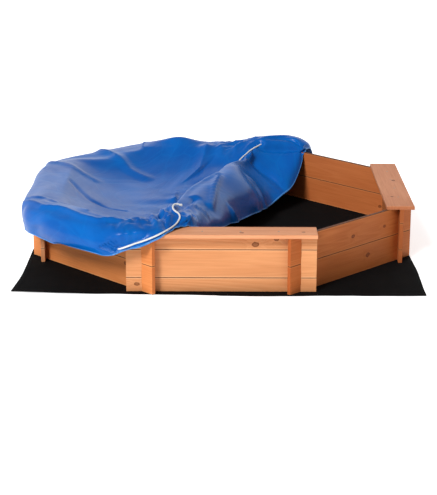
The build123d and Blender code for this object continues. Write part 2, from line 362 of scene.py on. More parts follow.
def makeWood(name, angle, seed, light, dark, stacked=None, ringScale=1.0, knots=(), litShade=(1, 1, 1)):
    material, tree, shader = newMaterial(name)

    # Every colour of the board is scaled by its side's painted light and shade.
    def tinted(colour, part=1.0):
        return tuple(value * shade * part for value, shade in zip(colour, litShade))

    place = addNode(tree, "ShaderNodeTexCoord")
    turn = addNode(tree, "ShaderNodeMapping")
    turn.inputs["Rotation"].default_value = (0, 0, math.radians(-(angle + 90)))
    tree.links.new(place.outputs["Object"], turn.inputs[0])
    grain = placeGroup(tree, grainGroup, **{"Seed": seed, "Ring Scale": ringScale})
    tree.links.new(turn.outputs[0], grain.inputs["Vector"])
    knotMask, push = 0.0, 0.0
    for centre, size in knots:
        knotNode = placeGroup(tree, knotGroup, Centre=centre, Size=size)
        tree.links.new(turn.outputs[0], knotNode.inputs["Vector"])
        knotMask = addMath(tree, "MAXIMUM", knotNode.outputs["Knot"], knotMask)
        push = addMath(tree, "ADD", knotNode.outputs["Push"], push)
    if knots:
        tree.links.new(push, grain.inputs["Push"])
    board = 0.0
    if stacked is not None:
        split = addNode(tree, "ShaderNodeSeparateXYZ")
        tree.links.new(turn.outputs[0], split.inputs[0])
        stack = placeGroup(
            tree, stackGroup,
            **{"First Joint": stacked, "Board Height": boardHeight, "Edge Width": wood["jointWidth"]},
        )
        tree.links.new(split.outputs[2], stack.inputs["Height"])
        tree.links.new(addMath(tree, "ADD", stack.outputs["Board"], seed), grain.inputs["Seed"])
        board = stack.outputs["Board"]
    rings = addMath(tree, "MULTIPLY", grain.outputs["Rings"], wood["ringStrength"])
    colour = addMix(tree, rings, tinted(light), tinted(dark))
    mottle = addRamp(tree, grain.outputs["Mottle"], (0.32, 0.72, 0.0, 0.55))
    colour = addMix(tree, mottle, colour, tinted(dark, 0.95))
    pores = addRamp(tree, grain.outputs["Pores"], (0.45, 0.72, 0.0, 0.35))
    colour = addMix(tree, pores, colour, tinted(dark, 0.72))
    if stacked is not None:
        # Each board of a wall has its own shade.
        own = addNode(tree, "ShaderNodeTexWhiteNoise", noise_dimensions="1D")
        tree.links.new(addMath(tree, "ADD", board, seed + 0.5), own.inputs["W"])
        colour = addMix(tree, addMath(tree, "MULTIPLY", own.outputs["Value"], 0.35), colour, tinted(dark))
    # End grain shows on the faces across the board's run.
    run = addNode(tree, "ShaderNodeVectorMath", operation="DOT_PRODUCT")
    tree.links.new(place.outputs["Normal"], run.inputs[0])
    turned = math.radians(angle)
    run.inputs[1].default_value = (-math.sin(turned), math.cos(turned), 0)
    across = addRamp(tree, addMath(tree, "ABSOLUTE", run.outputs["Value"]), (0.75, 0.9, 0.0, 0.7))
    colour = addMix(tree, across, colour, tinted(wood["endGrain"]))
    if knots:
        knotFactor = addMath(tree, "MULTIPLY", knotMask, wood["knotStrength"])
        colour = addMix(tree, knotFactor, colour, wood["knot"])
    if stacked is not None:
        worn = addMath(tree, "MULTIPLY", stack.outputs["Worn"], wood["wornStrength"])
        colour = addMix(tree, worn, colour, tinted(wood["worn"]))
        # Painted shade: a dark line along each joint stands in for the shadow in the groove between two
        # boards.
        jointShade = addMath(tree, "MULTIPLY", stack.outputs["Joint"], wood["jointShadeStrength"])
        colour = addMix(tree, jointShade, colour, wood["jointShade"])
    tree.links.new(colour, shader.inputs["Base Color"])
    rough = addMath(tree, "MULTIPLY_ADD", grain.outputs["Pores"], 0.22, wood["roughness"] - 0.08)
    tree.links.new(rough, shader.inputs["Roughness"])
    height = addMath(tree, "MULTIPLY_ADD", grain.outputs["Rings"], 0.35, grain.outputs["Pores"])
    addBump(tree, shader, height, *wood["bump"])
    shader.inputs["Specular IOR Level"].default_value = wood["specular"]
    return material


steelColours = {"clean": (0.34, 0.30, 0.25), "dull": (0.17, 0.15, 0.12)}


def makeSteel():
    material, tree, shader = newMaterial("zincScrew")
    place = addNode(tree, "ShaderNodeTexCoord")
    spots = addNoise(tree, place.outputs["Object"], Scale=900.0, Detail=3.0)
    spotted = addRamp(tree, spots.outputs["Fac"], (0.4, 0.65, 0.0, 1.0))
    colour = addMix(tree, spotted, steelColours["clean"], steelColours["dull"])
    tree.links.new(colour, shader.inputs["Base Color"])
    tree.links.new(addMath(tree, "MULTIPLY_ADD", spots.outputs["Fac"], 0.3, 0.22), shader.inputs["Roughness"])
    shader.inputs["Metallic"].default_value = 1.0
    addBump(tree, shader, spots.outputs["Fac"], 0.2, 0.0002)
    return material


# Woven tapes crossing at right angles: a height and a tint.
def makeWeaveGroup():
    group, source, sink = newGroup(
        "tapeWeave",
        [("Vector", "NodeSocketVector", None), ("Tapes", "NodeSocketFloat", 400.0)],
        [("Height", "NodeSocketFloat"), ("Tint", "NodeSocketFloat")],
    )
    scaled = addNode(group, "ShaderNodeVectorMath", operation="SCALE")
    group.links.new(source.outputs["Vector"], scaled.inputs[0])
    group.links.new(source.outputs["Tapes"], scaled.inputs["Scale"])
    split = addNode(group, "ShaderNodeSeparateXYZ")
    group.links.new(scaled.outputs[0], split.inputs[0])
    warp = addMath(group, "SINE", addMath(group, "MULTIPLY", split.outputs[0], math.tau))
    weft = addMath(group, "SINE", addMath(group, "MULTIPLY", split.outputs[1], math.tau))
    crossing = addMath(group, "MULTIPLY", warp, weft)
    fine = addNoise(group, scaled.outputs[0], Scale=0.35, Detail=4.0)
    group.links.new(addMath(group, "MULTIPLY_ADD", crossing, 0.5, fine.outputs["Fac"]), sink.inputs["Height"])
    group.links.new(fine.outputs["Fac"], sink.inputs["Tint"])
    return group


weaveGroup = makeWeaveGroup()


fabric = {
    "tapes": 330.0,
    "dark": (0.0018, 0.0018, 0.0020),
    "light": (0.0060, 0.0060, 0.0063),
    "dust": (0.012, 0.0115, 0.011),
    "roughness": 0.9,
    "specular": 0.06,
}


def makeSheetFabric():
    material, tree, shader = newMaterial("groundFabric")
    place = addNode(tree, "ShaderNodeTexCoord")
    weave = placeGroup(tree, weaveGroup, Tapes=fabric["tapes"])
    tree.links.new(place.outputs["Object"], weave.inputs["Vector"])
    dust = addNoise(tree, place.outputs["Object"], Scale=14.0, Detail=6.0, Roughness=0.65)
    base = addMix(tree, weave.outputs["Tint"], fabric["dark"], fabric["light"])
    dusty = addRamp(tree, dust.outputs["Fac"], (0.5, 0.8, 0.0, 0.35))
    colour = addMix(tree, dusty, base, fabric["dust"])
    tree.links.new(colour, shader.inputs["Base Color"])
    shader.inputs["Specular IOR Level"].default_value = fabric["specular"]
    shader.inputs["Roughness"].default_value = fabric["roughness"]
    addBump(tree, shader, weave.outputs["Height"], 0.5, 0.0005)
    return material


coverFinish = {
    "deep": (0.0, 0.090, 0.39),
    "bright": (0.0, 0.118, 0.46),
    "faded": (0.0, 0.15, 0.50),
    # The hem colour is paler than the sheet: a painted highlight along the rolled edge.
    "hem": (0.10, 0.33, 0.66),
    "tapes": 260.0,
    "roughness": (0.27, 0.10),
    "specular": 0.12,
    "coat": 0.08,
    "coatRoughness": 0.2,
    "bump": (0.4, 0.0020),
}


def makeCoverSheet():
    material, tree, shader = newMaterial("coatedSheet")
    cut = addNode(tree, "ShaderNodeUVMap", uv_map="cut")
    weave = placeGroup(tree, weaveGroup, Tapes=coverFinish["tapes"])
    tree.links.new(cut.outputs[0], weave.inputs["Vector"])
    clouds = addNoise(tree, cut.outputs[0], Scale=5.0, Detail=4.0, Roughness=0.55)
    cloudFactor = addRamp(tree, clouds.outputs["Fac"], (0.35, 0.7, 0.0, 1.0))
    colour = addMix(tree, cloudFactor, coverFinish["deep"], coverFinish["bright"])
    # Faint creases stay where the sheet was folded for the shop.
    creases = addNode(tree, "ShaderNodeTexVoronoi", feature="DISTANCE_TO_EDGE", Scale=5.5)
    warped = addNoise(tree, cut.outputs[0], Scale=3.0, Detail=2.0)
    bent = addNode(tree, "ShaderNodeVectorMath", operation="ADD")
    tree.links.new(cut.outputs[0], bent.inputs[0])
    shift = addNode(tree, "ShaderNodeVectorMath", operation="SCALE", Scale=0.35)
    tree.links.new(warped.outputs["Color"], shift.inputs[0])
    tree.links.new(shift.outputs[0], bent.inputs[1])
    tree.links.new(bent.outputs[0], creases.inputs["Vector"])
    crease = addRamp(tree, creases.outputs["Distance"], (0.0, 0.06, 1.0, 0.0))
    colour = addMix(tree, addMath(tree, "MULTIPLY", crease, 0.22), colour, coverFinish["faded"])
    tree.links.new(colour, shader.inputs["Base Color"])
    small = addNoise(tree, cut.outputs[0], Scale=38.0, Detail=3.0)
    least, spread = coverFinish["roughness"]
    rough = addMath(tree, "MULTIPLY_ADD", small.outputs["Fac"], spread, least)
    tree.links.new(rough, shader.inputs["Roughness"])
    shader.inputs["Specular IOR Level"].default_value = coverFinish["specular"]
    shader.inputs["Coat Weight"].default_value = coverFinish["coat"]
    shader.inputs["Coat Roughness"].default_value = coverFinish["coatRoughness"]
    broad = addMath(tree, "MULTIPLY", clouds.outputs["Fac"], 2.5)
    folds = addMath(tree, "MULTIPLY_ADD", crease, -0.25, broad)
    height = addMath(tree, "MULTIPLY_ADD", weave.outputs["Height"], 0.04, folds)
    height = addMath(tree, "MULTIPLY_ADD", small.outputs["Fac"], 0.12, height)
    addBump(tree, shader, height, *coverFinish["bump"])
    return material


def makeHemSheet():
    material, tree, shader = newMaterial("hemSheet")
    place = addNode(tree, "ShaderNodeTexCoord")
    puckers = addNoise(tree, place.outputs["Object"], Scale=120.0, Detail=3.0)
    # The puckers mix in the hem's paler colour, a painted highlight along the rolled edge.
    colour = addMix(tree, puckers.outputs["Fac"], coverFinish["bright"], coverFinish["hem"])
    tree.links.new(colour, shader.inputs["Base Color"])
    shader.inputs["Roughness"].default_value = 0.4
    shader.inputs["Specular IOR Level"].default_value = 0.3
    addBump(tree, shader, puckers.outputs["Fac"], 0.6, 0.001)
    return material


def makeCordWhite():
    material, tree, shader = newMaterial("braidedCord")
    place = addNode(tree, "ShaderNodeTexCoord")
    braid = addNode(
        tree, "ShaderNodeTexWave", wave_type="BANDS", bands_direction="DIAGONAL", Scale=160.0, Distortion=1.5
    )
    tree.links.new(place.outputs["Object"], braid.inputs["Vector"])
    colour = addMix(tree, braid.outputs["Fac"], (0.62, 0.62, 0.60), (0.90, 0.90, 0.88))
    tree.links.new(colour, shader.inputs["Base Color"])
    shader.inputs["Roughness"].default_value = 0.75
    addBump(tree, shader, braid.outputs["Fac"], 0.6, 0.0006)
    return material


steel = makeSteel()
sheetFabric = makeSheetFabric()
coverSheet = makeCoverSheet()
hemSheet = makeHemSheet()
cordWhite = makeCordWhite()


def assign(node, material):
    slots = nodes[node].material_slots
    if not slots:
        nodes[node].data.materials.append(material)
    for slot in nodes[node].material_slots:
        slot.material = material


# Painted light and shade by side: each wall, seat and block is tinted lighter where the key light from the
# front left falls and darker on the shaded right-hand sides. A knot has its place along the board, through it
# and up, and its size. Along is positive to the left of the outward view.
wallLitShade = {
    "front": (0.98, 0.93, 0.87), "front_left": (1.0, 0.74, 0.50), "front_right": (0.68, 0.41, 0.23),
    "back": (0.76, 0.56, 0.40), "back_right": (0.76, 0.47, 0.30), "right": (0.62, 0.40, 0.26),
}
benchLitShade = {"right": (0.74, 0.58, 0.52), "back": (0.85, 0.70, 0.62), "front": (0.96, 0.82, 0.74)}
cleatLitShade = {"front_left": (1.12, 1.02, 0.92), "front_right": (0.86, 0.66, 0.48)}
wallKnots = {
    "front": [
        ((0.115, 0.659, 0.171), 0.0085), ((0.188, 0.659, 0.190), 0.006), ((-0.290, 0.659, 0.028), 0.006),
    ],
    "front_right": [
        ((0.173, 0.659, 0.146), 0.005), ((0.0, 0.659, 0.144), 0.006), ((0.083, 0.659, 0.058), 0.007),
    ],
    "front_left": [((-0.16, 0.659, 0.120), 0.007), ((0.19, 0.659, 0.085), 0.006)],
    "back": [((-0.2, 0.645, 0.08), 0.009)],
    "back_right": [((-0.255, 0.645, 0.05), 0.006)],
    "right": [((0.1, 0.659, 0.12), 0.009)],
    "back_left": [((-0.08, 0.659, 0.14), 0.009)],
    "left": [((0.05, 0.659, 0.06), 0.009)],
}
benchKnots = {
    "front": [((0.07, 0.67, seatTop), 0.005), ((0.28, 0.66, seatTop), 0.004)],
    "right": [((0.05, 0.66, seatTop), 0.007), ((-0.19, 0.63, seatTop), 0.005)],
    "back": [((0.12, 0.66, seatTop), 0.006)],
    "left": [((-0.1, 0.64, seatTop), 0.006)],
}


def boardKnots(table, side):
    # The mapping turns the outward direction to -Y.
    return [((along, -through, height), size) for (along, through, height), size in table.get(side, [])]


for index, (side, angle) in enumerate(plainSides.items()):
    planks = makeWood(
        f"{side}Planks", angle, 2.0 + 7 * index, wood["light"], wood["dark"], wallBase,
        knots=boardKnots(wallKnots, side), litShade=wallLitShade.get(side, (1, 1, 1)),
    )
    assign(f"{side}_lower_board", planks)
    assign(f"{side}_upper_board", planks)

for index, (side, angle) in enumerate(benchSides.items()):
    litShade = wallLitShade.get(side, (1, 1, 1))
    planks = makeWood(
        f"{side}Planks", angle, 41.0 + 7 * index, wood["light"], wood["dark"], wallBase - boardHeight / 2,
        knots=boardKnots(wallKnots, side), litShade=litShade,
    )
    for board in ("bottom", "middle", "top"):
        assign(f"{side}_{board}_board", planks)
    for end in (1, 2):
        place = "left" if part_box(f"{side}_cleat_{end}")[0][0] < 0 else "right"
        blocks = makeWood(
            f"{side}Block_{end}", angle, 90.0 + 3 * index + 17 * end, wood["light"], wood["dark"],
            ringScale=1.6, litShade=cleatLitShade.get(f"{side}_{place}", litShade),
        )
        assign(f"{side}_cleat_{end}", blocks)
    bench = makeWood(
        f"{side}Bench", angle, 110.0 + 5 * index, wood["seatLight"], wood["seatDark"], ringScale=0.8,
        knots=boardKnots(benchKnots, side), litShade=benchLitShade.get(side, (1, 1, 1)),
    )
    assign(f"{side}_seat", bench)
assign("seat_screws", steel)
assign("cleat_screws", steel)
print("wood and screws finished")


knot = {
    "turns": 3,
    "radius": 0.0032,
    "strand": 0.0035,
    "first": 0.0015,
    "pitch": 0.0026,
    "lean": 0.0012,
    "steps": 16,
    "corners": 8,
    "end": 0.0033,
    "endPlace": 0.0045,
}


# Turns of the strand round the cord's end, each leaning its own way, and the end tucked inside them.
def makeKnot():
    start = Vector(drawstring["front"][-1])
    way = (start - Vector(drawstring["front"][-2])).normalized()
    side = way.orthogonal().normalized()
    third = way.cross(side)
    bm = bmesh.new()
    for turn in range(knot["turns"]):
        middle = start + way * (knot["first"] + turn * knot["pitch"])
        section = Matrix((side, way, third)).transposed().to_4x4()
        section.translation = middle + side * knot["radius"]
        circle = bmesh.ops.create_circle(
            bm, segments=knot["corners"], radius=knot["strand"] / 2, matrix=section
        )["verts"]
        rim = circle + list({edge for vert in circle for edge in vert.link_edges})
        earlier = set(bm.verts) - set(circle)
        bmesh.ops.spin(
            bm, geom=rim, cent=middle, axis=way, angle=math.tau, steps=knot["steps"], use_merge=True
        )
        for vert in set(bm.verts) - earlier:
            offset = vert.co - middle
            around = math.atan2(offset.dot(third), offset.dot(side))
            vert.co += way * knot["lean"] * math.cos(around + turn)
    tail = bmesh.ops.create_uvsphere(bm, u_segments=12, v_segments=8, radius=knot["end"])
    bmesh.ops.translate(bm, verts=tail["verts"], vec=start + way * knot["endPlace"])
    bmesh.ops.recalc_face_normals(bm, faces=bm.faces[:])
    return newObject("cordKnot", bm)


cordKnot = makeKnot()
cordKnot.data.materials.append(cordWhite)
frontCord.data.materials.append(cordWhite)
backCord.data.materials.append(cordWhite)
cordNodes = {"drawstring_front": frontCord, "drawstring_back": backCord, "drawstring_knot": cordKnot}
for node, piece in cordNodes.items():
    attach(piece, "cover")
    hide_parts(node)
print("knot tied")


groundSheet = {
    "cells": 90,
    "thickness": 0.0007,
    "low": 0.0005,
    "rise": 0.006,
    "pitRise": 0.35,
    "corner": (-0.024, 0.030),
    "edgePull": 0.011,
    "edgeWidth": 0.05,
}


def makeGroundSheet():
    low, high = sheetBox
    half = (high[0] - low[0]) / 2
    bm = bmesh.new()
    bmesh.ops.create_grid(bm, x_segments=groundSheet["cells"], y_segments=groundSheet["cells"], size=half)
    for vert in bm.verts:
        x, y = vert.co.x, vert.co.y
        edge = half - max(abs(x), abs(y))
        ripple = noise.noise(Vector((x * 5.0, y * 5.0, 3.0)))
        ripple += 0.5 * noise.noise(Vector((x * 13.0, y * 13.0, 7.0)))
        # The walls hold it down, and inside them it lies flatter.
        walls = max(abs(x), abs(y), (abs(x) + abs(y)) / math.sqrt(2))
        lifted = min(1.0, max(0.0, (abs(walls - wallMiddle) - 0.014) / 0.05))
        free = 1.0 if walls > wallMiddle else groundSheet["pitRise"]
        wave = max(0.0, 0.45 + ripple * 0.9) * 0.5
        vert.co.z = groundSheet["low"] + lifted * free * groundSheet["rise"] * wave
        # The front left corner is pulled a little out of square.
        corner = max(0.0, (half - x - y) / (4 * half) - 0.25) ** 3 * 8 * (1 if x < 0 and y < 0 else 0)
        vert.co.x += groundSheet["corner"][0] * min(1.0, corner)
        vert.co.y += groundSheet["corner"][1] * min(1.0, corner)
        pull = groundSheet["edgePull"] * noise.noise(Vector((x * 3.0 + 9, y * 3.0, 1.0)))
        pull *= max(0.0, 1 - edge / groundSheet["edgeWidth"])
        vert.co.x += pull if abs(x) > abs(y) else 0
        vert.co.y += pull if abs(y) >= abs(x) else 0
    piece = newObject("groundSheet", bm)
    wall = piece.modifiers.new("thickness", "SOLIDIFY")
    wall.thickness = groundSheet["thickness"]
    wall.offset = 1
    applyModifiers(piece)
    piece.data.materials.append(sheetFabric)
    return piece


groundPiece = makeGroundSheet()
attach(groundPiece, "sandbox")
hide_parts("ground_sheet")
print("ground sheet laid")


cover = {
    "flat": (1.66, 1.66),
    "cells": 100,
    "rings": (0.0, 0.56, 0.66, 0.74, 0.82, 0.91, 1.0),
    "middle": (-0.30, 0.02, 0.150),
    "bowl": (1.9, 3.4),
    "thickness": 0.0011,
    "gatheredFrom": 5.7,
    "gatheredTo": 9.7,
    "clear": 0.0035,
}

# Rows round the cover, from the left through the front, the right and the back. Each row has the inner
# edge of the rim, its crest, the outer edge, two points down the skirt and the hem. On the right the
# inner edge is tucked under the gathered fold, the crest is the fold's ridge and the hem is free.
coverRows = [
    (4.0, (-0.588, 0.0, 0.217), (-0.655, 0.0, 0.23), (-0.729, 0.0, 0.22),
        (-0.714, 0.0, 0.188), (-0.71, 0.0, 0.152), (-0.706, 0.0, 0.116)),
    (4.3, (-0.588, -0.19, 0.226), (-0.655, -0.195, 0.242), (-0.731, -0.2, 0.224),
        (-0.716, -0.204, 0.19), (-0.71, -0.207, 0.157), (-0.704, -0.208, 0.126)),
    (4.5, (-0.578, -0.28, 0.232), (-0.645, -0.312, 0.251), (-0.711, -0.34, 0.23),
        (-0.713, -0.343, 0.193), (-0.707, -0.342, 0.162), (-0.698, -0.338, 0.136)),
    (4.75, (-0.53, -0.365, 0.236), (-0.588, -0.408, 0.257), (-0.64, -0.44, 0.234),
        (-0.648, -0.447, 0.195), (-0.646, -0.446, 0.163), (-0.638, -0.44, 0.134)),
    (5.0, (-0.455, -0.445, 0.238), (-0.503, -0.493, 0.26), (-0.549, -0.536, 0.234),
        (-0.562, -0.548, 0.197), (-0.562, -0.548, 0.168), (-0.556, -0.543, 0.139)),
    (5.25, (-0.385, -0.515, 0.24), (-0.421, -0.56, 0.261), (-0.459, -0.613, 0.236),
        (-0.474, -0.631, 0.201), (-0.477, -0.634, 0.173), (-0.472, -0.628, 0.146)),
    (5.45, (-0.335, -0.545, 0.242), (-0.357, -0.594, 0.261), (-0.383, -0.671, 0.237),
        (-0.4, -0.692, 0.204), (-0.404, -0.696, 0.177), (-0.399, -0.69, 0.15)),
    (5.6, (-0.3, -0.548, 0.242), (-0.31, -0.597, 0.26), (-0.322, -0.69, 0.238),
        (-0.33, -0.711, 0.21), (-0.334, -0.716, 0.19), (-0.336, -0.713, 0.171)),
    (5.8, (-0.262, -0.532, 0.24), (-0.262, -0.59, 0.254), (-0.254, -0.684, 0.236),
        (-0.258, -0.71, 0.218), (-0.262, -0.717, 0.206), (-0.266, -0.714, 0.194)),
    (6.0, (-0.24, -0.5, 0.234), (-0.226, -0.578, 0.257), (-0.208, -0.655, 0.242),
        (-0.206, -0.684, 0.234), (-0.206, -0.698, 0.229), (-0.206, -0.708, 0.221)),
    (6.15, (-0.222, -0.455, 0.222), (-0.206, -0.552, 0.264), (-0.186, -0.618, 0.248),
        (-0.18, -0.64, 0.239), (-0.176, -0.652, 0.231), (-0.174, -0.662, 0.223)),
    (6.3, (-0.19, -0.39, 0.205), (-0.19, -0.518, 0.27), (-0.158, -0.575, 0.259),
        (-0.146, -0.596, 0.247), (-0.141, -0.606, 0.235), (-0.139, -0.616, 0.223)),
    (6.5, (-0.14, -0.33, 0.185), (-0.184, -0.455, 0.262), (-0.132, -0.508, 0.263),
        (-0.102, -0.536, 0.247), (-0.09, -0.55, 0.23), (-0.085, -0.56, 0.216)),
    (6.75, (-0.095, -0.26, 0.165), (-0.186, -0.36, 0.24), (-0.134, -0.405, 0.249),
        (-0.086, -0.43, 0.228), (-0.064, -0.444, 0.2), (-0.059, -0.452, 0.176)),
    (7.0, (-0.055, -0.17, 0.15), (-0.168, -0.262, 0.233), (-0.112, -0.28, 0.243),
        (-0.054, -0.294, 0.208), (-0.029, -0.299, 0.166), (-0.024, -0.3, 0.132)),
    (7.3, (-0.02, -0.075, 0.142), (-0.138, -0.118, 0.235), (-0.072, -0.13, 0.241),
        (-0.006, -0.145, 0.194), (0.019, -0.149, 0.148), (0.024, -0.15, 0.107)),
    (7.6, (0.025, 0.03, 0.135), (-0.092, 0.002, 0.239), (-0.018, 0.0, 0.24),
        (0.046, 0.0, 0.18), (0.066, 0.0, 0.126), (0.07, 0.0, 0.082)),
    (7.85, (0.065, 0.13, 0.132), (-0.038, 0.128, 0.243), (0.036, 0.13, 0.243),
        (0.106, 0.143, 0.176), (0.129, 0.15, 0.116), (0.131, 0.15, 0.069)),
    (8.1, (0.095, 0.235, 0.14), (0.0, 0.24, 0.248), (0.058, 0.252, 0.242),
        (0.118, 0.275, 0.162), (0.16, 0.292, 0.1), (0.178, 0.3, 0.052)),
    (8.3, (0.108, 0.32, 0.155), (0.032, 0.325, 0.245), (0.074, 0.372, 0.204),
        (0.138, 0.394, 0.146), (0.196, 0.392, 0.104), (0.238, 0.382, 0.073)),
    (8.55, (0.112, 0.405, 0.172), (0.068, 0.425, 0.236), (0.124, 0.488, 0.194),
        (0.19, 0.494, 0.16), (0.25, 0.472, 0.124), (0.289, 0.452, 0.093)),
    (8.75, (0.112, 0.48, 0.195), (0.106, 0.522, 0.252), (0.184, 0.586, 0.24),
        (0.252, 0.59, 0.224), (0.308, 0.578, 0.202), (0.34, 0.562, 0.172)),
    (9.0, (0.095, 0.535, 0.218), (0.15, 0.6, 0.266), (0.246, 0.634, 0.262),
        (0.306, 0.63, 0.252), (0.35, 0.618, 0.238), (0.372, 0.604, 0.214)),
    (9.2, (0.06, 0.56, 0.226), (0.165, 0.634, 0.27), (0.274, 0.668, 0.266),
        (0.336, 0.672, 0.256), (0.37, 0.67, 0.244), (0.384, 0.664, 0.228)),
    (9.35, (0.02, 0.57, 0.226), (0.138, 0.647, 0.264), (0.27, 0.694, 0.254),
        (0.342, 0.716, 0.222), (0.368, 0.727, 0.18), (0.374, 0.728, 0.142)),
    (9.6, (-0.03, 0.58, 0.224), (0.05, 0.65, 0.242), (0.15, 0.706, 0.236),
        (0.2, 0.724, 0.192), (0.215, 0.728, 0.15), (0.218, 0.726, 0.117)),
    (10.0, (-0.1, 0.585, 0.22), (-0.06, 0.65, 0.228), (0.0, 0.706, 0.226),
        (0.02, 0.721, 0.182), (0.025, 0.724, 0.146), (0.022, 0.721, 0.113)),
    (10.4, (-0.185, 0.585, 0.222), (-0.18, 0.648, 0.262), (-0.165, 0.703, 0.232),
        (-0.15, 0.714, 0.185), (-0.145, 0.718, 0.147), (-0.145, 0.714, 0.113)),
    (10.75, (-0.265, 0.575, 0.224), (-0.275, 0.645, 0.24), (-0.285, 0.7, 0.226),
        (-0.29, 0.712, 0.182), (-0.292, 0.715, 0.147), (-0.29, 0.712, 0.113)),
    (11.0, (-0.34, 0.545, 0.22), (-0.368, 0.615, 0.226), (-0.395, 0.664, 0.22),
        (-0.402, 0.674, 0.178), (-0.404, 0.677, 0.145), (-0.401, 0.674, 0.113)),
    (11.3, (-0.44, 0.45, 0.212), (-0.492, 0.502, 0.22), (-0.537, 0.548, 0.216),
        (-0.548, 0.556, 0.176), (-0.551, 0.559, 0.144), (-0.548, 0.556, 0.113)),
    (11.55, (-0.545, 0.34, 0.215), (-0.612, 0.378, 0.222), (-0.668, 0.414, 0.217),
        (-0.68, 0.42, 0.176), (-0.683, 0.423, 0.144), (-0.68, 0.42, 0.112)),
    (11.75, (-0.586, 0.2, 0.219), (-0.652, 0.22, 0.226), (-0.727, 0.24, 0.217),
        (-0.716, 0.243, 0.18), (-0.712, 0.244, 0.145), (-0.707, 0.243, 0.109)),
]


# A smooth line through four points in a row, between the two in the middle
def catmull(before, first, second, after, part):
    square = part * part
    return 0.5 * (
        2 * first
        + (second - before) * part
        + (2 * before - 5 * first + 4 * second - after) * square
        + (3 * first - before - 3 * second + after) * square * part
    )


def rowAt(place):
    count = len(coverRows)
    index = max(row for row in range(count) if coverRows[row][0] <= place)
    start = coverRows[index][0]
    end = coverRows[index + 1][0] if index + 1 < count else coverRows[0][0] + 8
    part = (place - start) / (end - start)
    rows = [coverRows[(index + step) % count] for step in (-1, 0, 1, 2)]
    return [catmull(*(Vector(row[line]) for row in rows), part) for line in range(1, 7)]


# Where a point of the flat sheet is, round the cover: 4 to 12, from the left through the front.
def turnOf(u, v):
    reach = max(abs(u), abs(v), 1e-9)
    if abs(u) >= abs(v):
        turn = v / reach if u > 0 else 4 - v / reach
    else:
        turn = 2 - u / reach if v > 0 else 6 + u / reach
    return turn if turn >= 4 else turn + 8


def coverPoint(u, v):
    reach = max(abs(u), abs(v))
    if reach < 1e-9:
        return Vector(cover["middle"])
    lines = rowAt(turnOf(u, v))
    rings = cover["rings"]
    if reach <= rings[1]:
        part = reach / rings[1]
        middle = Vector(cover["middle"])
        point = middle.lerp(lines[0], part)
        # The bowl rises gently to the left and the front, and late and steeply at the back.
        turn = turnOf(u, v)
        late = min(1.0, max(0.0, (turn - 6.5) / 1.5)) * min(1.0, max(0.0, (11.8 - turn) / 0.8))
        gentle, steep = cover["bowl"]
        point.z = middle.z + (lines[0].z - middle.z) * part ** (gentle + (steep - gentle) * late)
        return point
    index = max(ring for ring in range(1, 6) if rings[ring] <= reach)
    part = (reach - rings[index]) / (rings[index + 1] - rings[index])
    return lines[index - 1].lerp(lines[index], min(part, 1.0))


# Small gathers where the drawstring bunches the sheet up: place, spread and height in metres
bunches = [
    ((-0.195, -0.54, 0.25), 0.12, 0.030), ((0.05, 0.63, 0.24), 0.12, 0.014),
    ((-0.31, -0.63, 0.23), 0.09, 0.016), ((-0.165, -0.40, 0.25), 0.09, 0.012),
]


def crumpled(point, u, v):
    lift = 0.0
    for centre, spread, height in bunches:
        near = max(0.0, 1 - (point - Vector(centre)).length / spread)
        folds = noise.noise(Vector((u * 17.0, v * 9.0, 4.0)))
        folds += 0.6 * noise.noise(Vector((u * 34.0, v * 21.0, 9.0)))
        lift += height * near**0.7 * folds
    return point + Vector((-0.1, -0.5, 0.86)) * lift


def makeCoverMesh():
    bm = bmesh.new()
    bmesh.ops.create_grid(bm, x_segments=cover["cells"], y_segments=cover["cells"], size=1.0)
    cut = bm.loops.layers.uv.new("cut")
    hem = bm.verts.layers.float.new("hemNear")
    gather = bm.verts.layers.float.new("gathered")
    for face in bm.faces:
        for loop in face.loops:
            loop[cut].uv = [part * side / 2 for part, side in zip(loop.vert.co, cover["flat"])]
    for vert in bm.verts:
        u, v = vert.co.x, vert.co.y
        vert[hem] = max(abs(u), abs(v))
        turn = turnOf(u, v)
        begun = min(1.0, max(0.0, (turn - cover["gatheredFrom"]) / 0.4))
        left = min(1.0, max(0.0, (cover["gatheredTo"] - turn) / 0.4))
        vert[gather] = begun * left
        vert.co = crumpled(coverPoint(u, v), u, v)
    inner = [vert for vert in bm.verts if vert[hem] < 0.999]
    for repeat in range(2):
        smooth(bm, inner, 0.5)
    bmesh.ops.recalc_face_normals(bm, faces=bm.faces[:])
    return newObject("cover", bm)


coverPiece = makeCoverMesh()
print("cover cut out", sum(face.area for face in coverPiece.data.polygons))


cloth = {
    "frames": 18,
    "middleHold": 0.16,
    "rimHold": 0.62,
    "gatheredHold": 0.25,
    "hemHold": 0.95,
    "quality": 6,
    "mass": 0.25,
    "stiffness": 20,
    "shear": 8,
    "bending": 6.0,
    "slack": 0.014,
    "weight": 0.25,
    "gap": 0.002,
}


# The wood that the sheet comes to rest on
def makeCollider():
    bm = bmesh.new()
    names = [f"{side}_seat" for side in benchSides]
    names += [f"{side}_{board}_board" for side in benchSides for board in ("top", "middle", "bottom")]
    names += [f"{side}_{board}_board" for side in plainSides for board in ("upper", "lower")]
    for name in names:
        bm.from_mesh(nodes[name].data)
    bmesh.ops.remove_doubles(bm, verts=bm.verts[:], dist=1e-5)
    collider = newObject("collider", bm)
    collider.modifiers.new("stop", "COLLISION")
    collider.collision.thickness_outer = cloth["gap"]
    collider.collision.cloth_friction = 20
    return collider


